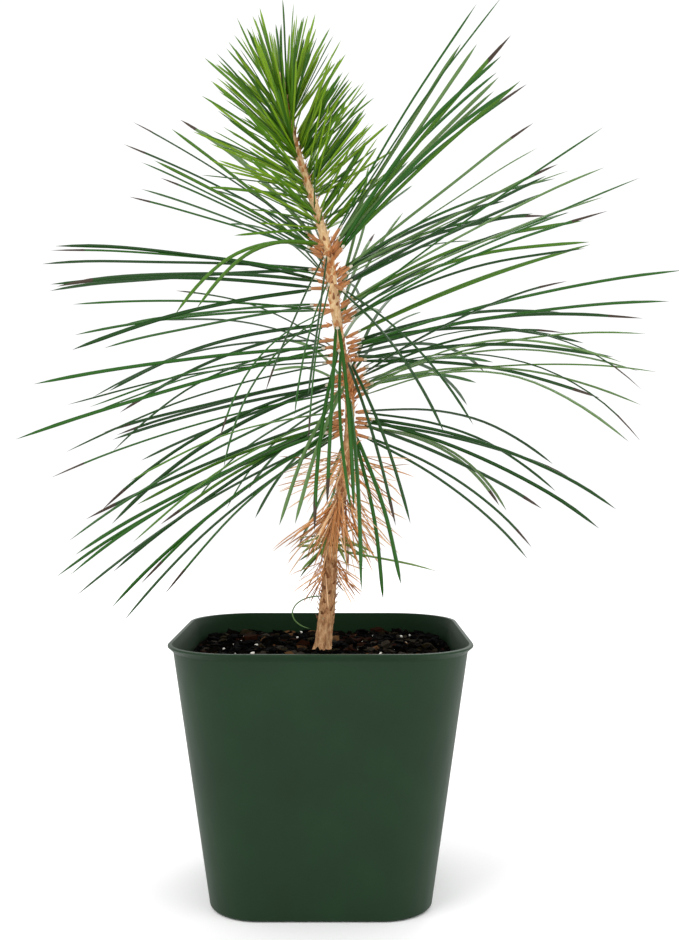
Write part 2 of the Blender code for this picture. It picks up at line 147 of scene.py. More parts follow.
def stem_at(height):
    """Centre and radius of the stem at a height, on a smooth line through STEM."""
    k = 0
    while k < len(STEM) - 2 and STEM[k + 1][0] < height:
        k += 1
    low = STEM[k]
    high = STEM[k + 1]
    before = STEM[max(k - 1, 0)]
    after = STEM[min(k + 2, len(STEM) - 1)]
    run = high[0] - low[0]
    u = min(max((height - low[0]) / run, 0.0), 1.0)
    values = []
    for c in (1, 2, 3):
        leave = (high[c] - before[c]) / (high[0] - before[0]) * run
        arrive = (after[c] - low[c]) / (after[0] - low[0]) * run
        values.append((2 * u**3 - 3 * u**2 + 1) * low[c] + (u**3 - 2 * u**2 + u) * leave
                      + (3 * u**2 - 2 * u**3) * high[c] + (u**3 - u**2) * arrive)
    return np.array((values[0], values[1], height)), values[2]


print("stem from", STEM[0][0], "to", STEM[-1][0] + BUD_LENGTH, "mm")

# %% [markdown]
# A pine grows its needles in storeys. A seeded rule deals out bundles over each storey, gives every
# bundle a lift and a turn, lets it droop, and skips it where it would leave its mass's space or
# touch another mass. The same rule and the same seeds give the frame's solids.

# %% The growing rule
COLLAR = 0.8
COLLAR_APART = 4.5
ROOT_DEPTH = 0.55
TIP_SHARE = 0.14
SIDE_MARGIN = 26.0
CLEAR = 0.35
TRIES = 24
PAIR_OFFSET = 0.5
PAIR_ANGLE = 9.0
SHEATH_LAP = 1.6
SHEATH_RADIUS = 0.88
GOLDEN = 0.618034
WAVE = 5.0
KINDS = {
    "candle": dict(steps=2, radius=0.58, sheath=0.0, leaves=1, bend=1.2, order=0.75, rough=0.45),
    "long": dict(steps=4, radius=0.64, sheath=6.5, leaves=2, bend=1.25, order=0.5, rough=0.42),
    "dry": dict(steps=2, radius=0.46, sheath=0.0, leaves=1, bend=1.0, order=0.1, rough=0.8),
    "shoot": dict(steps=2, radius=0.5, sheath=0.0, leaves=1, bend=1.0, order=0.3, rough=0.5),
}


def needle_path(root, turn, lift, reach, droop, sweep, wave, steps, bend):
    """Line of one needle: it leaves at its lift, then sinks by its droop and swings by its sweep."""
    marks = [(1 - TIP_SHARE) * k / (steps - 1) for k in range(steps)] + [1.0]
    points = [root]
    for low, high in zip(marks[:-1], marks[1:]):
        middle = 0.5 * (low + high)
        share = middle ** bend
        sway = wave * math.sin(2 * math.pi * middle)
        step = heading(lift - droop * share + sway, turn + sweep * share)
        points.append(points[-1] + step * reach * (high - low))
    return np.array(points)


def segment_gaps(a0, a1, b0, b1):
    """Least distance between every segment a and every segment b."""
    d1 = (a1 - a0)[:, None]
    d2 = (b1 - b0)[None]
    r = a0[:, None] - b0[None]
    a = np.sum(d1 * d1, 2)
    e = np.sum(d2 * d2, 2)
    f = np.sum(d2 * r, 2)
    b = np.sum(d1 * d2, 2)
    c = np.sum(d1 * r, 2)
    spread = a * e - b * b
    s = np.where(spread > 1e-9, np.clip((b * f - c * e) / np.maximum(spread, 1e-9), 0, 1), 0.0)
    t = (b * s + f) / e
    s = np.where(t < 0, np.clip(-c / a, 0, 1), s)
    s = np.where(t > 1, np.clip((b - c) / a, 0, 1), s)
    t = np.clip(t, 0, 1)
    between = r + d1 * s[..., None] - d2 * t[..., None]
    return np.sqrt(np.sum(between * between, 2))


class Crown:
    """Keeps every needle grown so far, so that each mass stays in its own space."""

    def __init__(self):
        self.starts = np.zeros((0, 3))
        self.ends = np.zeros((0, 3))
        self.radii = np.zeros(0)
        self.owners = np.zeros(0, int)

    def keep(self, points, radius, owner):
        count = len(points) - 1
        self.starts = np.concatenate((self.starts, points[:-1]))
        self.ends = np.concatenate((self.ends, points[1:]))
        self.radii = np.concatenate((self.radii, np.full(count, radius)))
        self.owners = np.concatenate((self.owners, np.full(count, owner)))

    def is_free(self, points, radius, owner):
        """True when a line is clear of every needle of the other masses."""
        others = self.owners != owner
        if not others.any():
            return True
        gaps = segment_gaps(points[:-1], points[1:], self.starts[others], self.ends[others])
        return bool(np.all(gaps > self.radii[others][None] + radius + CLEAR))


def keeps_place(points, radius, mass):
    """True when a line near the stem stays over its own collar, and off the stem and the mix."""
    for k in range(len(points) - 1):
        for u in (0.0, 0.25, 0.5, 0.75, 1.0):
            point = points[k] * (1 - u) + points[k + 1] * u
            if point[2] < MIX_TOP + 2.0:
                return False
            if point[2] > STEM[-1][0] + BUD_LENGTH:
                continue
            centre, stem = stem_at(point[2])
            off = math.hypot(point[0] - centre[0], point[1] - centre[1])
            if off > stem + GAP + COLLAR + radius + CLEAR:
                continue
            side = math.degrees(math.atan2(point[1] - centre[1], point[0] - centre[0])) - mass["side"]
            side = (side + 180) % 360 - 180
            edge = mass["half"] - math.degrees((0.8 * radius + GAP) / off)
            if not mass["low"] + radius < point[2] < mass["high"] - radius or abs(side) > edge:
                return False
            if off < stem + GAP + 0.5 * ROOT_DEPTH * COLLAR:
                return False
    return True


def grow_bundle(crown, owner, mass, rng, place, across, length):
    """One bundle: a needle, or a sheath and the two needles that part from it; None when it has no room."""
    kind = KINDS[mass["kind"]]
    height = mass["low"] + (mass["high"] - mass["low"]) * (0.1 + 0.8 * place)
    side = mass["side"] + across * (mass["half"] - SIDE_MARGIN)
    turn = mass["side"] + mass["fan"] * (0.65 * across + 0.35 * rng.uniform(-1, 1))
    order = kind["order"]
    lift = mass["lift"] + mass["spread"] * (order * (2 * place - 1) + (1 - order) * rng.uniform(-1, 1))
    reach = length * rng.uniform(0.82, 1.04)
    droop = mass["droop"] * rng.uniform(0.45, 1.5)
    sweep = 20 * rng.uniform(-1, 1)
    wave = WAVE * rng.uniform(-1, 1)
    stretch = rng.uniform(0.8, 1.15)
    twist = math.radians(rng.uniform(0, 180))
    centre, stem = stem_at(height)
    root = centre + heading(0, side) * (stem + GAP + ROOT_DEPTH * COLLAR)
    radius = kind["radius"]
    ahead = heading(lift, turn)
    sheath = None
    start = root
    lines = []
    if kind["sheath"]:
        sheath = np.array((root, root + ahead * kind["sheath"] * stretch))
        start = sheath[1] - ahead * SHEATH_LAP
        lines.append((sheath, SHEATH_RADIUS))
    beside = heading(0, turn + 90) * math.cos(twist) + heading(lift + 90, turn) * math.sin(twist)
    leaves = []
    for sign in (-1, 1)[:kind["leaves"]]:
        paired = kind["leaves"] - 1
        part = paired * sign * PAIR_ANGLE * rng.uniform(0.35, 0.75)
        leaf = needle_path(start + paired * sign * PAIR_OFFSET * beside, turn + part * math.cos(twist),
                           lift + part * math.sin(twist), reach * rng.uniform(0.9, 1.0),
                           droop * rng.uniform(0.85, 1.15), sweep, wave, kind["steps"], kind["bend"])
        leaves.append(leaf)
        lines.append((leaf, radius))
    for points, thick in lines:
        if not keeps_place(points, thick, mass) or not crown.is_free(points, thick, owner):
            return None
    for points, thick in lines:
        crown.keep(points, thick, owner)
    return sheath, leaves


def grow_mass(crown, owner, mass):
    """Bundles of one mass; a bundle that finds no room after some tries is left out."""
    rng = random.Random(7000 + 31 * owner)
    bundles = []
    for k in range(mass["count"]):
        for attempt in range(TRIES):
            place = (k + rng.uniform(0.2, 0.8)) / mass["count"]
            across = 2 * ((k * GOLDEN + 0.25 + rng.uniform(-0.12, 0.12)) % 1) - 1
            if mass["parted"]:
                across = (-1) ** k * rng.uniform(0.5, 1.0)
            length = mass["leader"] if mass["leader"] and k == 0 else mass["reach"]
            bundle = grow_bundle(crown, owner, mass, rng, place, across, length)
            if bundle:
                bundles.append(bundle)
                break
    return bundles


# %% The storeys
def ring_of(name, kind, low, high, rows, **common):
    """Rows of one storey: masses side by side round the stem, each named for the way it faces."""
    masses = []
    for facing, row in rows.items():
        mass = dict(name=name + "_" + facing, kind=kind, low=low, high=high, parted=False, leader=0.0,
                    half=180 / len(rows) - COLLAR_APART)
        mass.update(common)
        mass.update(row)
        masses.append(mass)
    return masses


def plan_crown():
    """Every mass of needles, storey by storey from the tip down."""
    masses = []
    masses += ring_of("candle_top", "candle", 271.5, 284.5, dict(
        right=dict(side=-30, lift=68, spread=17),
        back=dict(side=90, lift=66, spread=20),
        left=dict(side=210, lift=60, spread=22)), fan=75, reach=33, droop=6, count=18)
    masses += ring_of("candle_middle", "candle", 257.5, 270.5, dict(
        right=dict(side=-10, lift=56, spread=15, reach=35),
        back=dict(side=110, lift=44, spread=18, reach=40),
        left=dict(side=230, lift=36, spread=20, reach=43)), fan=65, droop=7, count=18)
    masses += ring_of("candle_base", "candle", 243.5, 256.5, dict(
        right=dict(side=-25, lift=46, spread=16, reach=38),
        back=dict(side=95, lift=32, spread=20, reach=40),
        left=dict(side=215, lift=18, spread=24, reach=43)), fan=65, droop=6, count=14)
    masses += ring_of("candle_foot", "candle", 232.5, 242.5, dict(
        right=dict(side=-10, lift=50, spread=12, reach=37),
        back=dict(side=110, lift=30, spread=16, reach=36),
        left=dict(side=230, lift=14, spread=22, reach=34)), fan=60, droop=4, count=7)
    masses += ring_of("upper_whorl", "long", 221.5, 231.5, dict(
        right=dict(side=-16, lift=48, spread=17, reach=95, droop=12, count=7),
        back=dict(side=74, lift=50, spread=18, reach=84, droop=16, count=3),
        left=dict(side=164, lift=34, spread=20, reach=86, droop=12, count=5),
        front=dict(side=254, lift=-20, spread=40, reach=84, droop=34, count=2, parted=True)), fan=42)
    masses += ring_of("upper_bough", "long", 210.5, 220.5, dict(
        right=dict(side=16, lift=33, spread=12, reach=102, droop=20, count=6),
        back=dict(side=106, lift=34, spread=24, reach=96, droop=22, count=3),
        left=dict(side=196, lift=8, spread=15, reach=108, droop=18, count=4),
        front=dict(side=286, lift=-34, spread=26, reach=84, droop=36, count=2, parted=True)), fan=42)
    masses += ring_of("middle_high", "long", 197.5, 209.5, dict(
        right=dict(side=-12, lift=24, spread=12, reach=110, droop=14, count=5),
        back=dict(side=78, lift=46, spread=16, reach=100, droop=12, count=3),
        left=dict(side=168, lift=0, spread=10, reach=104, droop=20, count=3),
        front=dict(side=258, lift=-30, spread=20, reach=86, droop=34, count=2, parted=True)), fan=42)
    masses += ring_of("middle_low", "long", 184.5, 196.5, dict(
        right=dict(side=14, lift=15, spread=15, reach=112, droop=26, count=6),
        back=dict(side=104, lift=16, spread=24, reach=96, droop=24, count=3),
        left=dict(side=194, lift=-6, spread=10, reach=112, droop=20, count=4),
        front=dict(side=284, lift=-40, spread=20, reach=84, droop=30, count=2, parted=True)), fan=42)
    masses += ring_of("lower_whorl", "long", 171.5, 183.5, dict(
        right=dict(side=-14, lift=20, spread=18, reach=110, droop=62, count=5),
        back=dict(side=76, lift=24, spread=26, reach=96, droop=24, count=3),
        left=dict(side=166, lift=-13, spread=14, reach=108, droop=22, count=5),
        front=dict(side=256, lift=-46, spread=16, reach=78, droop=24, count=2, parted=True)), fan=40)
    masses += ring_of("lowest_whorl", "long", 158.5, 170.5, dict(
        right=dict(side=12, lift=-2, spread=18, reach=94, droop=42, count=5),
        back=dict(side=102, lift=-12, spread=20, reach=86, droop=30, count=2),
        left=dict(side=192, lift=-22, spread=12, reach=106, droop=20, count=7),
        front=dict(side=282, lift=-62, spread=8, reach=62, droop=14, count=1, parted=True)), fan=40)
    masses += ring_of("dry_high", "dry", 142.5, 156.5, dict(
        right=dict(side=-20), back=dict(side=100), left=dict(side=220)),
        fan=80, lift=-14, spread=34, reach=27, droop=26, count=8)
    masses += ring_of("dry_middle", "dry", 127.5, 140.5, dict(
        right=dict(side=10), back=dict(side=130), left=dict(side=250)),
        fan=80, lift=-44, spread=32, reach=27, droop=22, count=13)
    masses += ring_of("shoot", "shoot", 117.5, 125.5, dict(
        right=dict(side=-10, leader=50), left=dict(side=170, leader=22)),
        fan=90, lift=-8, spread=34, reach=15, droop=22, count=8)
    masses += ring_of("dry_low", "dry", 107.5, 116.0, dict(
        right=dict(side=-20), back=dict(side=100), left=dict(side=220)),
        fan=70, lift=-34, spread=28, reach=14, droop=22, count=6)
    return masses


crown = Crown()
grown = []
for owner, mass in enumerate(plan_crown()):
    grown.append((mass, grow_mass(crown, owner, mass)))
print("bundles:", sum(len(bundles) for mass, bundles in grown))

# %% [markdown]
# Many small things are made as one joined mesh from arrays: each needle is a ring of points carried
# along a smooth line. A heap keeps the points and faces of one kind and one tint, and becomes a
# piece at the end.

# %% Heaps and tubes
class Heap:
    """Points and faces of many small things that share one finish."""

    def __init__(self):
        self.points = []
        self.faces = []
        self.count = 0

    def add(self, points, faces):
        self.points.append(np.asarray(points, float))
        self.faces.extend([tuple(i + self.count for i in face) for face in faces])
        self.count += len(points)

    def piece(self, name, material, slot, smooth=True):
        mesh = bpy.data.meshes.new(name)
        mesh.from_pydata(np.concatenate(self.points) * MM, [], self.faces)
        mesh.polygons.foreach_set("use_smooth", [smooth] * len(mesh.polygons))
        mesh.materials.append(material)
        mesh.update()
        thing = bpy.data.objects.new(name, mesh)
        bpy.context.scene.collection.objects.link(thing)
        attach(thing, "root")
        mesh.calc_loop_triangles()
        print(name, "triangles:", len(mesh.loop_triangles))
        return thing


def smooth_line(points, count):
    """The same line with more points and rounded corners; its ends stay."""
    points = np.asarray(points, float)
    lengths = np.concatenate(([0.0], np.cumsum(np.linalg.norm(np.diff(points, axis=0), axis=1))))
    marks = np.linspace(0, lengths[-1], count)
    fine = np.stack([np.interp(marks, lengths, points[:, k]) for k in range(3)], 1)
    for _ in range(count // 3):
        fine[1:-1] = 0.25 * fine[:-2] + 0.5 * fine[1:-1] + 0.25 * fine[2:]
    return fine


def carried(path, radii, section, roll):
    """Skin of a section carried along a path, closed at its root, with a point at its tip."""
    count = len(path)
    size = len(section)
    ahead = np.gradient(path, axis=0)
    ahead /= np.linalg.norm(ahead, axis=1)[:, None]
    beside = np.cross(ahead[0], (0.0, 0.0, 1.0) if abs(ahead[0][2]) < 0.95 else (1.0, 0.0, 0.0))
    rings = []
    for k in range(count):
        beside = beside - ahead[k] * np.dot(beside, ahead[k])
        beside /= np.linalg.norm(beside)
        above = np.cross(beside, ahead[k])
        turned = np.array([(x * math.cos(roll) - y * math.sin(roll), x * math.sin(roll) + y * math.cos(roll))
                           for x, y in section])
        rings.append(path[k] + radii[k] * (turned[:, :1] * beside + turned[:, 1:] * above))
    points = np.concatenate(rings[:-1] + [path[-1:]])
    faces = []
    for k in range(count - 2):
        for i in range(size):
            j = (i + 1) % size
            faces.append((k * size + i, (k + 1) * size + i, (k + 1) * size + j, k * size + j))
    last = (count - 2) * size
    for i in range(size):
        faces.append((last + i, len(points) - 1, last + (i + 1) % size))
    faces.append(tuple(range(size)))
    return points, faces


HALF_ROUND = [(-1.0, -0.25), (1.0, -0.25), (0.82, 0.3), (0.0, 0.62), (-0.82, 0.3)]
ROUND = [(math.cos(2 * math.pi * i / 6), math.sin(2 * math.pi * i / 6)) for i in range(6)]

# %% [markdown]
# Long needles come in pairs from one brown sheath, each half round in section, as wide to near the
# tip as in the middle. Bundles get one of a few plain greens: deep, dark, yellower on old ones, and a
# blue-grey that is painted highlight. Some tips are dried to dark brown.

# %% Long needles and sheaths
# The blue-grey tint of the long needles is painted highlight, dealt out to whole bundles.
LONG_TINTS = {"deep": (34, 84, 10), "dark": (24, 64, 12), "grey": (88, 118, 66), "olive": (66, 108, 16)}
# The young needles' lighter green is painted highlight and their darker green is painted shade, each dealt
# to whole bundles.
CANDLE_TINTS = {"fresh": (76, 118, 10), "bright": (112, 148, 22), "cool": (50, 90, 12)}
DRY_TINTS = {"orange": (212, 148, 92), "tan": (228, 186, 142), "brown": (166, 112, 70)}
SHOOT_TINTS = {"green": (96, 124, 54), "pale": (128, 146, 74)}
BROWNED_SHARE = 0.3
SHEATH_SWELL = 0.62 * np.array((0.75, 1.0, 1.12, 1.05, 0.98, 0.95, 0.0))
FIBRES = 5
FIBRE_RADII = 0.2 * np.array((1, 1, 1, 0.9, 0.7, 0.0))
RESIN_RADII = (0.56, 0.7, 0.6, 0.0)
LINE_POINTS = {"long": 18, "candle": 12, "dry": 12, "shoot": 9}
NEEDLE_RADIUS = {"long": 0.64, "candle": 0.46, "dry": 0.25, "shoot": 0.5}
TAPER = {"long": 0.1, "candle": 0.14, "dry": 0.25, "shoot": 0.3}
TINTS = {"long": LONG_TINTS, "candle": CANDLE_TINTS, "dry": DRY_TINTS, "shoot": SHOOT_TINTS}
heaps = {(kind, tint): Heap() for kind, tints in TINTS.items() for tint in tints}
tips = Heap()
sheaths = Heap()
resin = Heap()
fibres = Heap()
choose = random.Random(33)
PICK = {"long": ["deep"] * 5 + ["dark"] * 3 + ["grey"] * 3 + ["olive"] * 2,
        "candle": ["fresh"] * 4 + ["bright"] * 4 + ["cool"] * 2,
        "dry": ["orange"] * 4 + ["tan"] * 3 + ["brown"] * 3, "shoot": ["green"] * 3 + ["pale"] * 2}


def needle_radii(count, radius, taper):
    """Radius along a needle: slim at its root, even, then a pointed tip."""
    share = np.linspace(0, 1, count)
    root = np.minimum(0.62 + share / 0.12, 1.0)
    tip = np.minimum(1.0, ((1 - share) / taper) ** 0.7 + 0.03)
    return radius * root * tip


def lay_needle(kind, tint, leaf, radius, roll, browned=False):
    """Add one needle to its heap; a browned one ends in a dark tip."""
    count = LINE_POINTS[kind]
    path = smooth_line(leaf, count)
    radii = needle_radii(count, radius, TAPER[kind])
    if browned:
        cut = count - 3
        closing = path[cut] + 0.2 * (path[cut + 1] - path[cut])
        green = np.concatenate((path[:cut + 1], closing[None]))
        heaps[kind, tint].add(*carried(green, np.append(radii[:cut + 1], 0.0), HALF_ROUND, roll))
        brown_radii = np.concatenate(([0.6 * radii[cut - 1]], 1.04 * radii[cut:]))
        tips.add(*carried(path[cut - 1:], brown_radii, HALF_ROUND, roll))
        return
    heaps[kind, tint].add(*carried(path, radii, HALF_ROUND, roll))


for mass, bundles in grown:
    kind = mass["kind"]
    for sheath, leaves in bundles:
        tint = choose.choice(PICK[kind])
        roll = choose.uniform(0, 2 * math.pi)
        for k, leaf in enumerate(leaves):
            browned = kind == "long" and choose.random() < BROWNED_SHARE
            size = NEEDLE_RADIUS[kind] * choose.uniform(0.85, 1.1)
            lay_needle(kind, tint, leaf, size, roll + k * math.pi, browned)
        if sheath is not None:
            path = smooth_line(sheath, len(SHEATH_SWELL))
            sheaths.add(*carried(path, SHEATH_SWELL, ROUND, roll))
            for k in range(FIBRES):
                aside = heading(choose.uniform(-30, 60), choose.uniform(0, 360))
                run = path[4] - path[0]
                far = choose.uniform(0.5, 1.0) * run
                strand = np.array([path[0], path[0] + 0.35 * run + 0.7 * aside,
                                   path[0] + far + choose.uniform(0.8, 2.2) * aside])
                fibres.add(*carried(smooth_line(strand, len(FIBRE_RADII)), FIBRE_RADII, ROUND, 0.0))
            end = path[-1] - path[-2]
            cap = np.array([path[-2] + share * end for share in (-0.4, 0.2, 0.8, 1.1)])
            resin.add(*carried(cap, RESIN_RADII, ROUND, roll))

# %% [markdown]
# The frame carries fewer needles than the plant. Between the ones it has, finer ones are grown by
# the same rule with other seeds, kept within the same reach: as many again in the tuft, many thin
# dead needles and a few green ones low on the stem.

# %% Finer needles between the first ones
MORE = {"candle": 1.0, "dry": 1.7, "shoot": 0.4, "long": 0.0}
NEARLY_ROUND = 6.28
extra = 0
for owner, (mass, bundles) in enumerate(grown):
    kind = mass["kind"]
    finer = dict(mass)
    finer["count"] = round(mass["count"] * MORE[kind])
    finer["reach"] = mass["reach"] * (0.8 if kind == "candle" else 0.92)
    finer["leader"] = 0.0
    loose = Crown()
    rng = random.Random(500 + owner)
    for k in range(finer["count"]):
        for attempt in range(TRIES):
            place = rng.random()
            across = 2 * rng.random() - 1
            bundle = grow_bundle(loose, owner, finer, rng, place, across, finer["reach"])
            if bundle:
                tint = choose.choice(PICK[kind])
                for leaf in bundle[1]:
                    size = NEEDLE_RADIUS[kind] * choose.uniform(0.75, 1.05)
                    lay_needle(kind, tint, leaf, size, choose.uniform(0, NEARLY_ROUND))
                    extra += 1
                break
print("finer needles:", extra)

# %% [markdown]
# One old needle low on the left hangs in a loop. Its line is a short spiral.

# %% Curled needle
LOOP_POINTS = 20
LOOP_HEIGHT = 102.0
LOOP_WIDE = 9.5
LOOP_TALL = 6.5
LOOP_TURN = 2.9
LOOP_RADIUS = 0.26
share = np.linspace(0, 1, LOOP_POINTS)
base, stem_radius = stem_at(LOOP_HEIGHT)
start = base + np.array((-stem_radius, -1.0, 0.0))
loop = np.stack([start[0] - LOOP_WIDE * np.sin(share * LOOP_TURN) - 1.0 * share, start[1] - 2.5 * share,
                 start[2] - LOOP_TALL + LOOP_TALL * np.cos(share * LOOP_TURN) + 1.5 * share], 1)
# The loop takes the long needles' blue-grey, which is painted highlight.
heaps["long", "grey"].add(*carried(loop, needle_radii(LOOP_POINTS, LOOP_RADIUS, 0.2), ROUND, 0.0))
print("the loop hangs", round(float(start[2] - loop[:, 2].min()), 1), "mm below its root")

# %% [markdown]
# Each heap becomes one piece with one plain green or brown.

# %% Needle pieces
GLOSS = {"long": 0.42, "candle": 0.45, "dry": 0.8, "shoot": 0.5}
for (kind, tint), heap in heaps.items():
    material, tree, shader = finish_named(kind + "_" + tint, TINTS[kind][tint], GLOSS[kind], 0.3)
    heap.piece(kind + "_needles_" + tint, material, kind + "_needles")
for kind in KINDS:
    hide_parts(*[mass["name"] for mass, bundles in grown if mass["kind"] == kind])
material, tree, shader = finish_named("dried_tip", (58, 44, 30), 0.7)
tips.piece("needle_tips", material, "long_needles")
material, tree, shader = finish_named("sheath_brown", (176, 124, 82), 0.7, 0.3)
sheaths.piece("needle_sheaths", material, "bark")
material, tree, shader = finish_named("fibre_orange", (206, 140, 88), 0.75, 0.2)
fibres.piece("sheath_fibres", material, "bark")
material, tree, shader = finish_named("resin_white", (206, 198, 178), 0.55)
resin.piece("sheath_mouths", material, "bark")

# %% [markdown]
# The stem's bark is real relief: a fine grid round the line, pushed in and out. Low down the bark is
# fibrous and flaky, and four strands splay out at the mix; higher up it is smoother. LOOK gives the
# radius of the bark itself, a little more than the frame's stem where bundles' bases swell it.

# %% Bark relief
BARK_SIDES = 64
BARK_STEP = 0.6
SPLAY = 0.55
SPLAY_FADE = 3.0
BUD_RADIUS = 1.15
BUD_LOOK = ((0.1, 1.0), (0.25, 1.15), (0.45, 1.1), (0.62, 0.9), (0.78, 0.62), (0.9, 0.32))
ANGLES = 2 * np.pi * np.arange(BARK_SIDES) / BARK_SIDES
LOOK = ((81.7, 2.75), (93.0, 2.75), (107.0, 2.8), (115.0, 2.55), (128.0, 2.25), (141.0, 2.05), (162.0, 1.75),
        (172.0, 1.8), (180.0, 1.7), (189.0, 1.5), (197.0, 1.75), (209.0, 1.95), (222.0, 2.0), (237.0, 1.75),
        (249.0, 1.55), (265.0, 1.25), (279.0, 1.0), (285.0, 0.95))


def patchwork(rng, rows, tall, wide):
    """Smooth random relief on the bark's grid, in cells of tall rows by wide sides."""
    cells = rng.uniform(-1, 1, (rows // tall + 3, max(3, BARK_SIDES // wide)))
    down = np.linspace(0, cells.shape[0] - 1.001, rows)
    along = np.arange(BARK_SIDES) * cells.shape[1] / BARK_SIDES
    r0 = down.astype(int)
    c0 = along.astype(int)
    fr = (down - r0)[:, None]
    fc = (along - c0)[None]
    fr = fr * fr * (3 - 2 * fr)
    fc = fc * fc * (3 - 2 * fc)
    c1 = (c0 + 1) % cells.shape[1]
    low = cells[r0][:, c0] * (1 - fc) + cells[r0][:, c1] * fc
    high = cells[r0 + 1][:, c0] * (1 - fc) + cells[r0 + 1][:, c1] * fc
    return low * (1 - fr) + high * fr


def look_radius(height):
    """Radius of the bark at a height, before its relief."""
    return np.interp(height, [p[0] for p in LOOK], [p[1] for p in LOOK])


def bark_ring(centre, reach):
    """Ring of bark points at a centre's height, each at its own reach."""
    return np.stack([centre[0] + reach * np.cos(ANGLES), centre[1] + reach * np.sin(ANGLES),
                     np.full(BARK_SIDES, centre[2])], 1)


rng = np.random.default_rng(12)
heights = np.arange(STEM[0][0], STEM[-1][0], BARK_STEP)
rows = len(heights)
old = np.clip((200 - heights) / 90, 0.15, 1.0)[:, None]
relief = old * (0.22 * patchwork(rng, rows, 14, 8) + 0.16 * patchwork(rng, rows, 8, 4)
                + 0.12 * patchwork(rng, rows, 5, 2) + 0.05 * rng.uniform(-1, 1, (rows, BARK_SIDES)))
relief += 0.09 * patchwork(rng, rows, 4, 6)
relief += 0.2 * old * (patchwork(rng, rows, 7, 5) > 0.15)
rings = []
for row, height in enumerate(heights):
    strands = 0.5 + 0.5 * np.cos(4 * ANGLES + 0.7)
    splay = SPLAY * math.exp(-(height - STEM[0][0]) / SPLAY_FADE) * strands
    rings.append(bark_ring(stem_at(height)[0], look_radius(height) * (1 + splay) + relief[row] - 0.1))
top = STEM[-1][0]
crest = stem_at(top)[0]
lean = (crest - stem_at(top - 6)[0]) / 6
for share, swell in BUD_LOOK:
    rings.append(bark_ring(crest + lean * BUD_LENGTH * share,
                           BUD_RADIUS * swell * (1 + 0.06 * np.cos(5 * ANGLES + 9 * share))))
bark = Heap()
bark_faces = []
for k in range(len(rings) - 1):
    for i in range(BARK_SIDES):
        here = k * BARK_SIDES + i
        beside = k * BARK_SIDES + (i + 1) % BARK_SIDES
        bark_faces.append((here, beside, beside + BARK_SIDES, here + BARK_SIDES))
last = (len(rings) - 1) * BARK_SIDES
for i in range(BARK_SIDES):
    bark_faces.append((last + i, last + (i + 1) % BARK_SIDES, last + BARK_SIDES))
bark_faces.append(tuple(reversed(range(BARK_SIDES))))
bark.add(np.concatenate(rings + [(crest + lean * BUD_LENGTH)[None]]), bark_faces)

# %% [markdown]
# Old bark is brown and grey; young bark, on this year's and last year's growth, is a pale tan. One
# ramp colours each, and the height on the stem mixes them.

# %% Bark colour
OLD_BARK_TOP = 175.0
YOUNG_BARK_FOOT = 205.0
material, tree, shader = finish_named("bark", (140, 104, 74), 0.85, 0.3)
vector = coordinates(tree, (1.0, 1.0, 0.45))
grain = ramp(tree, noise(tree, vector, 0.9, 6.0, 0.7), ((0.32, (98, 64, 42)), (0.43, (162, 114, 76)),
                                                        (0.56, (200, 154, 110)), (0.72, (224, 188, 148))))
young = ramp(tree, noise(tree, vector, 1.3, 5.0, 0.65), ((0.3, (140, 88, 52)), (0.4, (208, 166, 116)),
                                                         (0.6, (228, 196, 150)), (0.75, (238, 214, 176))))
place = tree.nodes.new("ShaderNodeSeparateXYZ")
tree.links.new(tree.nodes["Texture Coordinate"].outputs["Object"], place.inputs["Vector"])
up = tree.nodes.new("ShaderNodeMapRange")
up.inputs["From Min"].default_value = OLD_BARK_TOP * MM
up.inputs["From Max"].default_value = YOUNG_BARK_FOOT * MM
tree.links.new(place.outputs["Z"], up.inputs["Value"])
mix = tree.nodes.new("ShaderNodeMix")
mix.data_type = "RGBA"
tree.links.new(up.outputs["Result"], mix.inputs["Factor"])
tree.links.new(grain, mix.inputs["A"])
tree.links.new(young, mix.inputs["B"])
tree.links.new(mix.outputs["Result"], shader.inputs["Base Color"])
bump(tree, shader, noise(tree, vector, 2.5, 6.0, 0.7), 0.7, 0.4)
stem_piece = bark.piece("stem_bark", material, "bark")
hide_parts("trunk")

# %% [markdown]
# Small dry scale leaves wrap the stem where bundles stand, and loose flakes lift off the old bark.
# Each is a thin pointed plate, larger at its root, laid in a spiral.

# %% Scale leaves and bark flakes
SCALE_COUNT = 420
SCALE_FOOT = 92
SCALE_RUN = 190
GOLDEN_TURN = 137.5
WHORLS = ((176.0, 60), (222.0, 46))
SCALE_COLOURS = {"orange": (190, 126, 76), "brown": (140, 92, 58), "cream": (220, 184, 138)}
scales = {name: Heap() for name in SCALE_COLOURS}


def lay_scale(heap, height, turn, length, width, open_angle):
    """One pointed plate that leans off the stem."""
    out = heading(0, turn)
    side = heading(0, turn + 90)
    rise = heading(90 - open_angle, turn)
    root = stem_at(height)[0] + out * (look_radius(height) - 0.15)
    points = []
    for share, half in ((0.0, 1.0), (0.45, 0.9), (0.8, 0.5)):
        middle = root + rise * length * share + out * 0.25 * length * share ** 2
        edge = -0.12 * width
        points += [middle - side * half * width / 2 + out * edge, middle + out * 0.12,
                   middle + side * half * width / 2 + out * edge, middle - out * 0.12]
    points.append(root + rise * length + out * 0.25 * length)
    faces = []
    for k in range(2):
        for i in range(4):
            j = (i + 1) % 4
            faces.append((4 * k + i, 4 * k + j, 4 * k + 4 + j, 4 * k + 4 + i))
    faces += [(8 + i, 8 + (i + 1) % 4, 12) for i in range(4)]
    faces.append((3, 2, 1, 0))
    heap.add(points, faces)


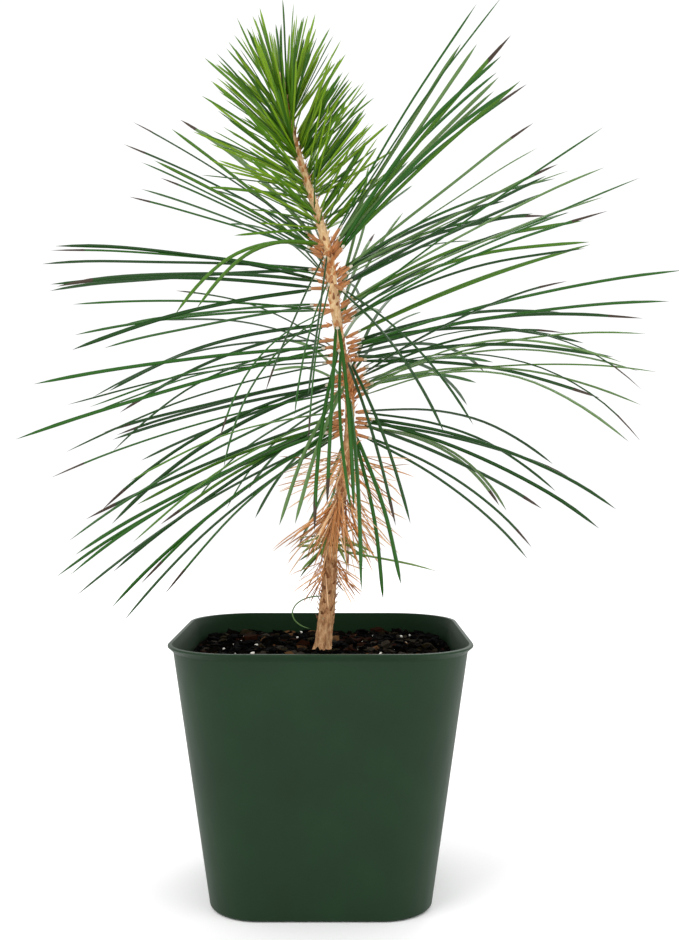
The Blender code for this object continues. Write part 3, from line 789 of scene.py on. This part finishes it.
deal = random.Random(77)
for k in range(SCALE_COUNT):
    height = SCALE_FOOT + SCALE_RUN * (k + deal.random()) / SCALE_COUNT
    turn = k * GOLDEN_TURN + deal.uniform(-20, 20)
    if height < 150:
        lay_scale(scales[deal.choice(("brown", "cream", "brown"))], height, turn, deal.uniform(1.5, 3.4),
                  deal.uniform(0.8, 1.6), deal.uniform(4, 40))
    elif 171 < height < 186:
        lay_scale(scales[deal.choice(("orange", "orange", "brown"))], height, turn, deal.uniform(2.0, 3.6),
                  deal.uniform(1.0, 1.6), deal.uniform(10, 45))
    elif height > 205 or deal.random() < 0.35:
        lay_scale(scales[deal.choice(("orange", "brown", "cream"))], height, turn, deal.uniform(1.4, 2.8),
                  deal.uniform(0.8, 1.3), deal.uniform(5, 30))
for height, count in WHORLS:
    for k in range(count):
        lay_scale(scales["orange"], height + deal.uniform(-6, 7), k * GOLDEN_TURN, deal.uniform(2.0, 3.8),
                  deal.uniform(1.0, 1.7), deal.uniform(10, 50))
for name, colour in SCALE_COLOURS.items():
    material, tree, shader = finish_named("scale_" + name, colour, 0.7, 0.3)
    scales[name].piece("bark_scales_" + name, material, "bark", smooth=False)

# %% [markdown]
# The mix is a heap of bark chips, splinters and a few white grains. Each sort is modelled once from a
# small ball, squashed and roughened, and its mesh is then copied into arrays, turned and scaled.

# %% Chips on the mix
bpy.ops.object.select_all(action="DESELECT")


def model_chip(squash, seed):
    """Angular chip from a small ball, flattened and pushed about."""
    bpy.ops.mesh.primitive_ico_sphere_add(subdivisions=1, radius=1.0)
    chip = bpy.context.object
    bpy.ops.object.mode_set(mode="EDIT")
    bpy.ops.transform.resize(value=squash)
    bpy.ops.transform.vertex_random(offset=0.28, uniform=0.6, seed=seed)
    bpy.ops.object.mode_set(mode="OBJECT")
    points = np.array([v.co[:] for v in chip.data.vertices])
    faces = [tuple(p.vertices) for p in chip.data.polygons]
    bpy.data.objects.remove(chip)
    return points, faces


flat_chip = model_chip((1.0, 0.62, 0.34), 3)
long_chip = model_chip((1.0, 0.5, 0.42), 8)
thick_chip = model_chip((0.9, 0.8, 0.5), 15)
splinter = model_chip((1.0, 0.2, 0.16), 21)
chips = [flat_chip, long_chip, thick_chip, splinter]
grain_points, grain_faces = model_chip((1.0, 0.9, 0.8), 5)
print("faces of a chip:", len(flat_chip[1]))

LYING_SHARE = 0.75


def turned(points, deal):
    """Points turned about the vertical and, one time in four, tipped as well."""
    a, b, _ = (deal.uniform(0, 2 * math.pi) for _ in range(3))
    rz = np.array(((math.cos(a), -math.sin(a), 0), (math.sin(a), math.cos(a), 0), (0, 0, 1)))
    rx = np.array(((1, 0, 0), (0, math.cos(b), -math.sin(b)), (0, math.sin(b), math.cos(b))))
    if deal.random() < LYING_SHARE:
        rx = np.eye(3)
    return points @ rx.T @ rz.T


MIX_HALF = 46.2
MIX_CORNER = 20.5
CHIP_COUNT = 3600
CHIP_SIZES = (0.7, 1.0, 1.4, 1.9, 2.6, 3.4)
GRAIN_COUNT = 110
CHIP_COLOURS = {"black": (5, 4, 3), "dark": (14, 11, 8), "red": (36, 21, 14), "grey": (46, 42, 36),
                "olive": (34, 30, 20), "tan": (82, 59, 39)}
chip_heaps = {name: Heap() for name in CHIP_COLOURS}
grains = Heap()
deal = random.Random(19)
CHIP_DEAL = ["black"] * 14 + ["dark"] * 10 + ["red"] * 2 + ["grey"] * 2 + ["olive"] * 2 + ["tan"]


def on_mix(deal, margin):
    """Random place on the mix, inside its rounded square."""
    while True:
        x = deal.uniform(-1, 1) * (MIX_HALF - margin)
        y = deal.uniform(-1, 1) * (MIX_HALF - margin)
        corner = MIX_HALF - MIX_CORNER
        dx = max(abs(x) - corner, 0.0)
        dy = max(abs(y) - corner, 0.0)
        if math.hypot(dx, dy) < MIX_CORNER - margin:
            return x, y


for k in range(CHIP_COUNT):
    size = deal.choice(CHIP_SIZES) * deal.uniform(0.7, 1.1)
    x, y = on_mix(deal, 0.8 * size)
    off = math.hypot(x, y)
    if off < 3.5 + size:
        continue
    points, faces = deal.choice(chips)
    heap = chip_heaps[deal.choice(CHIP_DEAL)]
    lift = MIX_TOP + deal.uniform(-0.4, 0.9) + 0.25 * size + 0.8 * math.exp(-off / 14)
    heap.add(turned(points, deal) * size + np.array((x, y, lift)), faces)
for k in range(GRAIN_COUNT):
    size = 0.3 + 0.75 * deal.random() ** 2
    x, y = on_mix(deal, size + 1.0)
    if math.hypot(x, y) < 5:
        continue
    lift = MIX_TOP + 1.0 + 0.5 * size
    grains.add(turned(grain_points, deal) * size + np.array((x, y, lift)), grain_faces)
for name, heap in chip_heaps.items():
    material, tree, shader = finish_named("chip_" + name, CHIP_COLOURS[name], 0.95, 0.02)
    vector = coordinates(tree, (1.0, 1.0, 1.0))
    bump(tree, shader, noise(tree, vector, 1.6, 5.0, 0.7), 0.6, 0.5)
    heap.piece("mix_chips_" + name, material, "mix_crumbs", smooth=False)
material, tree, shader = finish_named("grain_white", (220, 216, 206), 0.7)
grains.piece("mix_grains", material, "mix_crumbs", smooth=False)

# %% [markdown]
# Between the chips the frame's own mix shows. It only needs a dark crumbly finish.

# %% The mix itself
material, tree, shader = finish_named("mix_dark", (10, 8, 6), 0.95, 0.02)
vector = coordinates(tree, (1.0, 1.0, 1.0))
crumbs = noise(tree, vector, 0.8, 8.0, 0.75)
colour = ramp(tree, crumbs, ((0.35, (5, 4, 3)), (0.55, (16, 12, 9)), (0.7, (36, 26, 18))))
tree.links.new(colour, shader.inputs["Base Color"])
bump(tree, shader, noise(tree, vector, 1.1, 8.0, 0.8), 1.0, 1.6)
nodes["potting_mix"].data.materials.clear()
nodes["potting_mix"].data.materials.append(material)

# %% [markdown]
# The pot is thin moulded plastic with a satin skin: its green is deep in the middle of a face and
# greyer where light grazes the corners. Fine streaks and dust vary its gloss. Its inner wall gets a
# darker green of its own, painted shade for the inside of the pot.

# %% Pot finish
material, tree, shader = finish_named("pot_green", (10, 34, 16), 0.48, 0.26)
vector = coordinates(tree, (1.0, 1.0, 0.12))
cloud = coordinates(tree, (1.0, 1.0, 1.0))
colour = ramp(tree, noise(tree, cloud, 0.05, 3.0, 0.5), ((0.3, (12, 41, 18)), (0.7, (17, 47, 22))))
tree.links.new(colour, shader.inputs["Base Color"])
rough = tree.nodes.new("ShaderNodeMapRange")
rough.inputs["To Min"].default_value = 0.42
rough.inputs["To Max"].default_value = 0.56
tree.links.new(noise(tree, vector, 0.35, 5.0, 0.6), rough.inputs["Value"])
tree.links.new(rough.outputs["Result"], shader.inputs["Roughness"])
bump(tree, shader, noise(tree, cloud, 2.2, 3.0, 0.5), 0.12, 0.15)

# %% [markdown]
# The frame's pot has few corner faces, so a rounder one takes its place. It starts as a flat square
# whose corners are rounded with a vertex bevel. The face is then pulled up and widened step by step:
# foot, wall, lip, over the rim and down inside to the floor, one skin from underside to inside.

# %% Pot walls
POT_HEIGHT = 89.4
FOOT_HALF = 37.7
FOOT_CORNER = 18.0
FOOT_ROUND = 0.9
WALL_TOP_HALF = 49.3
LIP_HALF = 51.0
LIP_DROP = 2.4
LIP_EDGE = 0.6
LIP_BEVEL = 0.2
LIP_TOP = 1.4
LIP_INSIDE_DROP = 3.0
WALL = 1.2
FLOOR = 1.8
DRAIN_RADIUS = 3.5
DRAIN_OFFSET = 24.0
CORNER_CUTS = 16

bpy.ops.object.select_all(action="DESELECT")
foot = FOOT_HALF - FOOT_ROUND
bpy.ops.mesh.primitive_plane_add(size=2 * foot * MM, location=(0, 0, 0))
pot = bpy.context.object
pot.name = "pot_body"
bpy.ops.object.mode_set(mode="EDIT")
bpy.ops.mesh.select_all(action="SELECT")
bpy.ops.mesh.bevel(offset=(FOOT_CORNER - FOOT_ROUND) * MM, offset_type="OFFSET", segments=CORNER_CUTS,
                   affect="VERTICES")
bpy.ops.mesh.select_all(action="DESELECT")
bpy.ops.mesh.select_mode(type="FACE")
bpy.ops.mesh.select_all(action="SELECT")


def wall_half(height):
    """Half width of the outer wall at a height."""
    return FOOT_HALF + (WALL_TOP_HALF - FOOT_HALF) * height / (POT_HEIGHT - LIP_DROP)


FOOT_CURVE = ((0.08, 0.38), (0.29, 0.71), (0.62, 0.93), (1.0, 1.0))
LIP_CURVE = ((0.1, LIP_EDGE + 0.1), (0.0, LIP_EDGE), (0.0, LIP_BEVEL), (0.06, 0.06), (LIP_BEVEL, 0.0),
             (LIP_TOP - 0.15, 0.0), (LIP_TOP, 0.12))
under_lip = POT_HEIGHT - LIP_DROP
steps = [(wall_half(FOOT_ROUND * r) - FOOT_ROUND * (1 - w), FOOT_ROUND * r) for r, w in FOOT_CURVE]
steps += [(wall_half(h), h) for h in (1.6, 12.0, 45.0, 80.0, under_lip - 0.5, under_lip)]
steps += [(LIP_HALF - inset, POT_HEIGHT - drop) for inset, drop in LIP_CURVE]
steps += [(wall_half(h) - WALL, h) for h in (POT_HEIGHT - LIP_INSIDE_DROP, 80.0, 45.0, FLOOR + 0.8)]
steps += [(wall_half(FLOOR) - WALL - 0.8, FLOOR)]
now_half = foot
now_height = 0.0
for half, height in steps:
    wider = half / now_half
    bpy.ops.mesh.extrude_region_move(TRANSFORM_OT_translate={"value": (0, 0, (height - now_height) * MM)})
    bpy.ops.transform.resize(value=(wider, wider, 1.0), center_override=(0, 0, height * MM))
    now_half = half
    now_height = height
bpy.ops.mesh.select_all(action="SELECT")
bpy.ops.mesh.normals_make_consistent(inside=False)
bpy.ops.object.mode_set(mode="OBJECT")
for turn in (45, 135, 225, 315):
    place = DRAIN_OFFSET * math.sqrt(2) * heading(0, turn) * MM
    bpy.ops.mesh.primitive_cylinder_add(vertices=32, radius=DRAIN_RADIUS * MM, depth=6 * FLOOR * MM,
                                        location=place)
    drill = bpy.context.object
    bpy.ops.object.select_all(action="DESELECT")
    pot.select_set(True)
    bpy.context.view_layer.objects.active = pot
    hole = pot.modifiers.new("hole", "BOOLEAN")
    hole.operation = "DIFFERENCE"
    hole.solver = "EXACT"
    hole.object = drill
    bpy.ops.object.modifier_apply(modifier=hole.name)
    bpy.data.objects.remove(drill)
bpy.ops.object.shade_smooth_by_angle(angle=math.radians(32))
pot.data.materials.clear()
pot.data.materials.append(material)
# The inner wall's darker green is painted shade inside the pot.
pot.data.materials.append(finish_named("pot_inner_painted_shade", (6, 36, 12), 0.6, 0.12)[0])
for face in pot.data.polygons:
    inward = face.normal.x * face.center.x + face.normal.y * face.center.y < 0
    face.material_index = 1 if inward and face.center.z > FLOOR * MM else 0
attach(pot, "root")
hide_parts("pot")
print("pot corners:", CORNER_CUTS, "cuts each; faces:", len(pot.data.polygons))

# %% [markdown]
# A pale floor lies under the plant, and the world round it is plain white. Big soft lamps give the
# even light of a studio, with a faint shadow at the foot.

# %% Floor and light
bpy.ops.object.select_all(action="DESELECT")
bpy.ops.mesh.primitive_plane_add(size=6.0, location=(0, 0, -0.0002))
floor = bpy.context.object
floor.name = "floor"
material, tree, shader = finish_named("floor_white", (250, 250, 250), 0.9, 0.1)
floor.data.materials.append(material)

world = bpy.data.worlds.new("studio")
bpy.context.scene.world = world
world.use_nodes = True
world.node_tree.nodes["Background"].inputs["Color"].default_value = (1.0, 1.0, 1.0, 1.0)
world.node_tree.nodes["Background"].inputs["Strength"].default_value = 1.06
bpy.context.scene.view_settings.view_transform = "Standard"


def lamp(name, place, aim, size, watts):
    """Square soft lamp that faces a point."""
    data = bpy.data.lights.new(name, "AREA")
    data.size = size
    data.energy = watts
    thing = bpy.data.objects.new(name, data)
    bpy.context.scene.collection.objects.link(thing)
    thing.location = place
    thing.rotation_euler = (Vector(aim) - Vector(place)).to_track_quat("-Z", "Y").to_euler()


lamp("key", (-0.7, -0.8, 1.1), (0, 0, 0.12), 0.7, 7.0)
lamp("fill", (0.9, -0.6, 0.6), (0, 0, 0.1), 0.8, 3.0)
lamp("back", (0.2, 0.9, 0.9), (0, 0, 0.15), 0.8, 4.0)

# %% [markdown]
# The camera stands level in front of the plant, a forearm away, a little above its middle, as the
# photograph shows it.

# %% Camera
eye = bpy.data.cameras.new("eye")
eye.lens = 42.28
eye.sensor_width = 36.0
eye.clip_start = 0.01
camera = bpy.data.objects.new("eye", eye)
bpy.context.scene.collection.objects.link(camera)
camera.location = (0.0063, -0.397, 0.1473)
camera.rotation_euler = (math.radians(90), 0, 0)
bpy.context.scene.camera = camera
